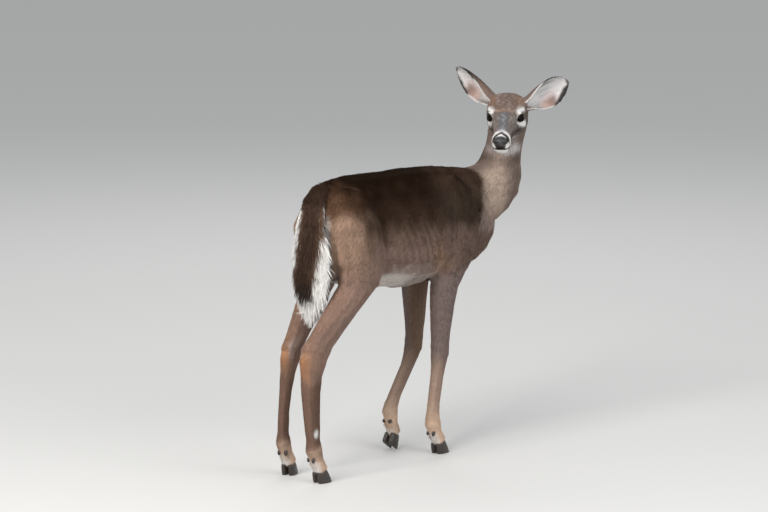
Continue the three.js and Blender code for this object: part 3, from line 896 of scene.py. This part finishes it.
def lie_of(points, normals, label):
    """Which way the hair at each point lies, before it is laid flat on the skin."""
    lie = np.zeros((len(points), 3))
    down, back = np.array([[0, 0, -1.0], [-1.0, 0, 0]])
    for i, node in enumerate(flesh):
        mine = label == i
        p, n = points[mine], normals[mine]
        x, y, z = source_mm(p).T
        if node == "trunk":
            slope = 0.12 + 0.5 * ramp(0.9, 0.2, np.abs(n[:, 2])) + 2.2 * ramp(230, 330, x)
            slope += 1.6 * ramp(-300, -400, x)
            lie[mine] = back + slope[:, None] * down
        elif node == "neck":
            lie[mine] = along_line(p, placed(NECK[::-1])) + 0.25 * down
        elif node in HEAD_NODES:
            lie[mine] = -along + 0.25 * down
        elif node in EARS:
            lie[mine] = np.array(EARS[node]["reach"]) @ HEAD_AXES
        elif node == "tail":
            spread = y / 70 * (0.2 + 0.45 * ramp(570, 700, z))
            spread = spread * np.where(y < 0, 1.6, 1.0)
            lie[mine] = down + spread[:, None] * [0, 1, 0] - [0.1, 0, 0]
        else:
            joints = placed(LEGS[node.rsplit("_", 1)[0]])
            backward = 0.8 * ramp(450, 750, z)
            lie[mine] = along_line(p, joints) * 0.6 + down * 0.4 + backward[:, None] * back
    return lie


def flattened(vectors, normals):
    """The part of each vector along the surface, as a unit vector."""
    return unit(vectors - normals * np.sum(vectors * normals, axis=1, keepdims=True))


# ---- Materials ----
RELIEF_DEPTH = 0.0008


def set_inputs(node, **values):
    """Sets a shader node's inputs, which are named with an underscore for each space."""
    for name, value in values.items():
        node.inputs[name.replace("_", " ")].default_value = value


def add(tree, kind, **values):
    made = tree.nodes.new(kind)
    set_inputs(made, **values)
    return made


def link(source, output, target, socket):
    target.id_data.links.new(source.outputs[output], target.inputs[socket])


def fresh_material(name, **values):
    """A material whose shader has these inputs, and that shader."""
    material = bpy.data.materials.new(name)
    material.use_nodes = True
    shader = material.node_tree.nodes["Principled BSDF"]
    set_inputs(shader, **values)
    return material, shader


def add_grain(shader, source, scale, low, high, stretch=(1, 1, 1)):
    """Gives the shader the source's colour, made lighter and darker by a fine noise, and returns that."""
    tree = shader.id_data
    coordinates = add(tree, "ShaderNodeTexCoord")
    mapping = add(tree, "ShaderNodeMapping", Scale=stretch)
    noise = add(tree, "ShaderNodeTexNoise", Scale=scale, Detail=3.0)
    spread = add(tree, "ShaderNodeMapRange", From_Min=0.3, From_Max=0.7, To_Min=low, To_Max=high)
    product = add(tree, "ShaderNodeVectorMath")
    product.operation = "SCALE"
    link(coordinates, "Object", mapping, "Vector")
    link(mapping, "Vector", noise, "Vector")
    link(noise, "Fac", spread, "Value")
    link(source, "Color", product, 0)
    link(spread, "Result", product, "Scale")
    link(product, "Vector", shader, "Base Color")
    return noise


def add_relief(shader, source, output, strength, depth):
    relief = add(shader.id_data, "ShaderNodeBump", Strength=strength, Distance=depth)
    link(source, output, relief, "Height")
    link(relief, "Normal", shader, "Normal")


def painted_material(name, scale, low, high, strength=0.0, **values):
    """A material that takes its colour from the mesh's own coat colours."""
    material, shader = fresh_material(name, **values)
    attribute = add(shader.id_data, "ShaderNodeAttribute")
    attribute.attribute_name = "coat"
    noise = add_grain(shader, attribute, scale, low, high)
    if strength:
        add_relief(shader, noise, "Fac", strength, RELIEF_DEPTH)
    return material


def coat_material(name, scale, low, high, strength=0.0):
    return painted_material(name, scale, low, high, strength, Roughness=0.75, Specular_IOR_Level=0.05)


def nose_material():
    """Wet black leather, cut into small cells."""
    colour = (*linear((42, 40, 40)), 1)
    material, shader = fresh_material(
        "nose_leather", Roughness=0.36, Specular_IOR_Level=0.6, Base_Color=colour)
    coordinates = add(shader.id_data, "ShaderNodeTexCoord")
    cells = add(shader.id_data, "ShaderNodeTexVoronoi", Scale=520.0)
    link(coordinates, "Object", cells, "Vector")
    add_relief(shader, cells, "Distance", 0.5, 0.0006)
    return material


def eye_material():
    return painted_material("eye_wet", 700, 0.8, 1.2, Roughness=0.05, Specular_IOR_Level=0.06)


def horn_material():
    """Dark horn, with fine growth lines that run round the hoof."""
    material, shader = fresh_material("hoof_horn", Roughness=0.4)
    base = add(shader.id_data, "ShaderNodeRGB")
    base.outputs["Color"].default_value = (*linear((50, 43, 38)), 1)
    noise = add_grain(shader, base, 160, 0.6, 1.5, (1, 1, 6))
    add_relief(shader, noise, "Fac", 0.35, RELIEF_DEPTH)
    return material


def paint_points(mesh, colour):
    """Stores one colour for each vertex as the coat attribute."""
    attribute = mesh.color_attributes.new("coat", "FLOAT_COLOR", "POINT")
    write(attribute.data, "color", np.concatenate([np.clip(colour, 0, 1), np.ones((len(colour), 1))], axis=1))


def lay_out(mesh, flat):
    """Stores the place of each of the mesh's loops in the square that the materials are baked to."""
    write(mesh.uv_layers.new(name="OFBake").data, "uv", flat)


# ---- Unwrapping: the skin round each solid is laid out flat from six sides ----
AXES_ACROSS = ((1, 2), (0, 2), (0, 1))
SHEET_GAP = 0.004
SHEET_SHRINK = 0.97
SQUARE_EDGE = 0.002


def charts_for(corners, normals, owner):
    """A chart for each triangle, from its node and the way it faces, and where each lies in the square."""
    axis = np.argmax(np.abs(normals), axis=1)
    facing = axis * 2 + (np.take_along_axis(normals, axis[:, None], 1)[:, 0] > 0)
    chart = owner * 6 + facing
    sheets = []
    for c in np.unique(chart):
        u, v = AXES_ACROSS[int(c % 6) // 2]
        flat = corners[chart == c][:, :, [u, v]].reshape(-1, 2)
        low, high = flat.min(0), flat.max(0)
        sheets.append((int(c), low, high - low))
    sheets.sort(key=lambda sheet: -sheet[2][1])
    scale = 1.0
    while True:
        x, y, tall, places = SHEET_GAP, SHEET_GAP, 0.0, {}
        for c, low, size in sheets:
            wide, high = size * scale
            if x + wide + SHEET_GAP > 1:
                x, y, tall = SHEET_GAP, y + tall + SHEET_GAP, 0.0
            places[c] = (low, np.array([x, y]))
            x, tall = x + wide + SHEET_GAP, max(tall, high)
        if y + tall + SHEET_GAP < 1:
            return chart, places, scale
        scale *= SHEET_SHRINK


def unwrapped(points, chart, places, scale):
    """Where points lie in the square, given each one's chart."""
    made = np.zeros((len(points), 2))
    for c, (low, corner) in places.items():
        mine = chart == c
        u, v = AXES_ACROSS[int(c % 6) // 2]
        made[mine] = (points[mine][:, [u, v]] - low) * scale + corner
    return np.clip(made, SQUARE_EDGE, 1 - SQUARE_EDGE)


# ---- The coat's tufts ----
# A long tuft is a leaf with three sides: a point at its root, broadest at its bend, and a point at its tip.
# A short one is a spike with three sides. Rows hold a share of the length, of the rise and of the width, and
# how light the hair is there.
LEAF = [(0.0, -0.05, 0.0, 0.92), (0.40, 0.70, 1.0, 0.98), (1.0, 1.0, 0.0, 1.06)]
SPIKE = [(0.0, -0.05, 1.0, 0.88), (1.0, 1.0, 0.0, 1.08)]
THREE_SIDES = [(-0.5, 0.0), (0.5, 0.0), (0.0, 0.36)]
ROUNDED = 0.6
TUFT_IN_SQUARE = 0.0026


def tuft_faces(rows):
    """Triangles between the rows of one tuft, where a row of no width is a single point."""
    starts, faces, count = [], [], 0
    for row in rows:
        size = 3 if row[2] else 1
        starts.append((count, size))
        count += size
    for (a, a_size), (b, b_size) in zip(starts[:-1], starts[1:]):
        for j in range(3):
            k = (j + 1) % 3
            if a_size == 1:
                faces.append((a, b + k, b + j))
            elif b_size == 1:
                faces.append((a + j, a + k, b))
    return np.array(faces), count


def tuft_mesh(name, tufts, rows):
    """Tufts as one mesh. Their shading leans on the skin's own normals, so that the coat looks soft."""
    root, lie, normal = tufts["root"], tufts["lie"], tufts["normal"]
    length, width, rise = (tufts[key][:, None] for key in ("length", "width", "rise"))
    across = np.cross(normal, lie)
    faces, per = tuft_faces(rows)
    points, shades, soft, offsets = [], [], [], []
    for place, height, breadth, shade in rows:
        middle = root + lie * length * place + normal * rise * height
        for sideways, up in THREE_SIDES if breadth else [(0.0, 0.0)]:
            spread = across * sideways + normal * up
            points.append(middle + spread * width * breadth)
            shades.append(tufts["colour"] * shade)
            soft.append(unit(normal + ROUNDED * spread))
            offsets.append((sideways * TUFT_IN_SQUARE, (up + 0.3 * place) * TUFT_IN_SQUARE))
    count = len(root)
    index = (np.arange(count)[:, None, None] * per + faces[None]).reshape(-1)
    mesh = bpy.data.meshes.new(name)
    mesh.vertices.add(count * per)
    write(mesh.vertices, "co", np.stack(points, axis=1))
    mesh.loops.add(len(index))
    write(mesh.loops, "vertex_index", index, np.int32)
    mesh.polygons.add(len(index) // 3)
    write(mesh.polygons, "loop_start", np.arange(0, len(index), 3), np.int32)
    mesh.update(calc_edges=True)
    mesh.shade_smooth()
    paint_points(mesh, np.stack(shades, axis=1).reshape(-1, 3))
    shading = mesh.attributes.new("custom_normal", "FLOAT_VECTOR", "POINT")
    write(shading.data, "vector", np.stack(soft, axis=1))
    lay_out(mesh, (tufts["uv"][:, None] + np.array(offsets)).reshape(-1, 2)[index])
    return new_object(name, mesh)


# ---- The skin, dressed ----
skin, label, edges = build_skin()
skin_mesh = skin.data
points, normals = points_of(skin_mesh), normals_of(skin_mesh)
region = region_of_node[label]
colour = averaged(paint(points, normals, label), edges, 2)
lie = averaged(flattened(lie_of(points, normals, label), normals), edges, SMOOTH_ROUNDS)
lie = flattened(lie, normals)
triangles = triangles_of(skin_mesh)
face_of_triangle = read(skin_mesh.loop_triangles, "polygon_index", 1, np.int32)
corners = points[triangles]
area = np.linalg.norm(np.cross(corners[:, 1] - corners[:, 0], corners[:, 2] - corners[:, 0]), axis=1) / 2

face_normal = read(skin_mesh.polygons, "normal", 3)
first = np.zeros(len(face_normal), np.int64)
first[face_of_triangle] = np.arange(len(triangles))
face_owner = label[triangles[first, 0]]
chart, places, chart_scale = charts_for(
    corners, face_normal[face_of_triangle], face_owner[face_of_triangle])
face_chart = np.zeros(len(face_normal), np.int64)
face_chart[face_of_triangle] = chart
loop_vertex = read(skin_mesh.loops, "vertex_index", 1, np.int32)
loop_chart = np.repeat(face_chart, read(skin_mesh.polygons, "loop_total", 1, np.int32))
lay_out(skin_mesh, unwrapped(points[loop_vertex], loop_chart, places, chart_scale))

long_haired = averaged(within(region, *LONG_HAIRED).astype(float), edges, BLEND_ROUNDS)
paint_points(skin_mesh, colour * (0.97 - 0.07 * long_haired)[:, None])
skin_mesh.shade_smooth()
skin_mesh.materials.append(coat_material("skin_coat", 1100, 0.86, 1.1, 0.4))
skin_mesh.materials.append(nose_material())
place = head_mm(points)
leather = (nose_leather(*place.T) > 0.5) & within(region, *HEAD_NODES)
bare_face = np.zeros(len(face_normal), np.int32)
bare_face[face_of_triangle] = leather[triangles].all(axis=1)
skin_mesh.polygons.foreach_set("material_index", bare_face)
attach(skin, "root")
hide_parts(*flesh)


# ---- The coat ----
def coat_fields():
    """The coat's length, width, density and reach at each vertex of the skin, in metres."""
    z = source_mm(points)[:, 2]
    length, width, density = averaged(REGION_ROWS[region, 2:], edges, BLEND_ROUNDS).T
    on_head = within(region, *HEAD_NODES)
    length = length * (1 - 0.45 * on_head * ramp(110, 190, place[:, 0]))
    inside = round_eye(place)[2]
    length = length * (1 - 0.5 * on_head * ramp(-12, -4, inside))
    length = np.where(within(region, "tail"), 14 + 34 * ramp(850, 760, z), length)
    standing = np.zeros(len(points))
    for name in EARS:
        mine = label == flesh.index(name)
        share, turn, outward = ear_place(name, points[mine])
        inner = np.sum(normals[mine] * outward, axis=1) < 0
        tuft = base_tuft(share, turn) * inner
        length[mine] = np.where(inner, 7 + 18 * tuft, 5.5)
        standing[mine] = 10 * tuft
    claws = surface_of([node_arrays(n) for n in nodes if "claw" in n])
    near_claw = np.zeros(len(points))
    low = z < 200
    near_claw[low] = ramp(12, 4, np.abs(nearest(claws, points[low])[1]) * 1000)
    length = length * (1 + 0.5 * ramp(70, 50, z) + 1.1 * near_claw)
    reach = averaged(nearest(flesh_surface, points)[1] * -1000, edges, 3)
    reach = np.maximum(np.clip(reach, 0.35, 0.42 * length), standing)
    bare = leather | (on_head & (inside > -1.8))
    return length / 1000, width / 1000, np.where(bare, 0, density), reach / 1000


MOST_TRIANGLES = 190000

length, width, density, reach = coat_fields()
weight = area * density[triangles].min(axis=1) * 1e4
total = np.cumsum(weight)
count = int(total[-1] * (1))
steps = (np.arange(count) + rng.random(count)) * (total[-1] / count)
chosen = np.searchsorted(total, np.minimum(steps, total[-1] * (1 - 1e-9)))
u, v = rng.random((2, count))
u, v = np.where(u + v > 1, 1 - u, u), np.where(u + v > 1, 1 - v, v)
shares = np.stack([1 - u - v, u, v], axis=1)


def at_roots(values):
    return np.einsum("nk,nk...->n...", shares, values[triangles[chosen]])


root = at_roots(points)
normal = unit(at_roots(normals))
spot = 1 + 0.12 * rng.normal(size=count)[:, None] + 0.03 * smooth_noise(root, 0.018, 21)[:, None]
tufts = {
    "root": root,
    "normal": normal,
    "lie": flattened(at_roots(lie) + 0.13 * rng.normal(size=(count, 3)), normal),
    "length": at_roots(length) * rng.uniform(0.75, 1.2, count),
    "width": at_roots(width) * rng.uniform(0.8, 1.25, count) * 1,
    "rise": at_roots(reach) * rng.uniform(0.6, 1.0, count),
    "colour": at_roots(colour) * spot,
    "uv": unwrapped(root, chart[chosen], places, chart_scale),
}
is_long = within(region[triangles[chosen, 0]], *LONG_HAIRED)
hair = coat_material("coat_hair", 900, 0.94, 1.06)
order = np.argsort(-root[:, 0])
for rows, mask, name in ((LEAF, is_long, "coat_long"), (SPIKE, ~is_long, "coat_short")):
    picked = order[mask[order]]
    pieces = int(np.ceil(len(picked) * len(tuft_faces(rows)[0]) / MOST_TRIANGLES))
    for k, part in enumerate(np.array_split(picked, pieces)):
        made = tuft_mesh(f"{name}_{k + 1}", {key: values[part] for key, values in tufts.items()}, rows)
        made.data.materials.append(hair)
        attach(made, "root")

# ---- Eyes, hooves and dewclaws ----
HOOF_VOXEL = 0.0017
SOLE_HEIGHT = 0.0008
PUPIL_SHAPE = 0.7

eye_finish = eye_material()
for name in ("eye_left", "eye_right"):
    ball = bmesh.new()
    bmesh.ops.create_uvsphere(ball, u_segments=64, v_segments=48, radius=EYE_RADIUS / 1000)
    mesh = bpy.data.meshes.new(f"{name}_ball")
    ball.to_mesh(mesh)
    ball.free()
    mesh.transform(Matrix.Translation(Vector(box_middle(name))))
    mesh.shade_smooth()
    ray, _, _, rise = round_eye(head_mm(points_of(mesh)))
    off_axis = EYE_RADIUS * np.arccos(np.clip(ray @ EYE_FACING, -1, 1))
    pupil = np.hypot(np.sqrt(np.maximum(off_axis ** 2 - rise ** 2, 0)) * PUPIL_SHAPE, rise)
    iris = mix(linear((26, 16, 10)), linear((5, 4, 4)), ramp(5.6, 4.8, pupil))
    paint_points(mesh, mix(iris, linear((10, 8, 7)), ramp(9.5, 12.0, off_axis)))
    mesh.materials.append(eye_finish)
    made = new_object(f"{name}_ball", mesh)
    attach(made, "root")
    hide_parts(name)

horn = horn_material()
for leg in LEGS:
    claws = [n for n in horny if n.startswith(leg)]
    made = remeshed(f"{leg}_hooves", [node_arrays(n) for n in claws], HOOF_VOXEL)
    mesh = made.data
    shape = points_of(mesh)
    smoothed = averaged(shape, edges_of(mesh), 10)
    smoothed[:, 2] = np.where(shape[:, 2] < SOLE_HEIGHT, shape[:, 2], np.maximum(smoothed[:, 2], 0.0004))
    set_points(mesh, smoothed)
    mesh.shade_smooth()
    mesh.materials.append(horn)
    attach(made, "root")
    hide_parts(*claws)

# ---- Camera, floor and light ----
AIM = placed([-38.9, 51.7, 621.2])
CAMERA_DISTANCE = 12.0
LAMP_DISTANCE = 6.0
FLOOR_REACH = 60


def aimed(name, data, azimuth, elevation, distance):
    """Stands a camera or lamp round the object and turns it that way. Azimuth 0 is in front of her right
    side, and -90 is behind her."""
    made = new_object(name, data)
    a, e = np.radians(azimuth), np.radians(elevation)
    direction = np.array([np.sin(a) * np.cos(e), -np.cos(a) * np.cos(e), np.sin(e)])
    turn = Vector(direction).to_track_quat("Z", "Y").to_matrix().to_4x4()
    made.matrix_world = Matrix.Translation(Vector(AIM + direction * distance)) @ turn
    return made


def lamp(name, azimuth, elevation, energy, size, colour):
    data = bpy.data.lights.new(name, "AREA")
    data.energy, data.size, data.color = energy, size, colour
    aimed(name, data, azimuth, elevation, LAMP_DISTANCE)


scene.camera = aimed("camera", bpy.data.cameras.new("camera"), -50, 9, CAMERA_DISTANCE)
scene.camera.data.sensor_width = 36
scene.camera.data.lens = 182.8
scene.camera.data.clip_end = 200
lamp("key", -80, 36, 315, 3.0, (1.0, 0.97, 0.94))
lamp("fill", -5, 22, 150, 4.0, (0.97, 0.98, 1.0))
lamp("rim", 130, 40, 65, 3.0, (1.0, 1.0, 1.0))

floor_corners = np.array([[-1, -1, 0], [1, -1, 0], [1, 1, 0], [-1, 1, 0]], float) * FLOOR_REACH
floor = new_object("floor", mesh_of("floor", floor_corners, [[0, 1, 2, 3]]))
paper = fresh_material(
    "floor_paper", Roughness=0.95, Specular_IOR_Level=0.0, Base_Color=(0.62, 0.615, 0.60, 1))[0]
floor.data.materials.append(paper)

world = bpy.data.worlds.new("studio")
scene.world = world
world.use_nodes = True
tree = world.node_tree
sky = tree.nodes["Background"]
set_inputs(sky, Color=(0.94, 0.97, 1.0, 1), Strength=0.62)
backdrop = add(tree, "ShaderNodeBackground", Color=(0.40, 0.40, 0.39, 1))
chooser = add(tree, "ShaderNodeMixShader")
link(add(tree, "ShaderNodeLightPath"), "Is Camera Ray", chooser, "Fac")
link(sky, "Background", chooser, 1)
link(backdrop, "Background", chooser, 2)
link(chooser, "Shader", tree.nodes["World Output"], "Surface")
scene.view_settings.view_transform = "Standard"
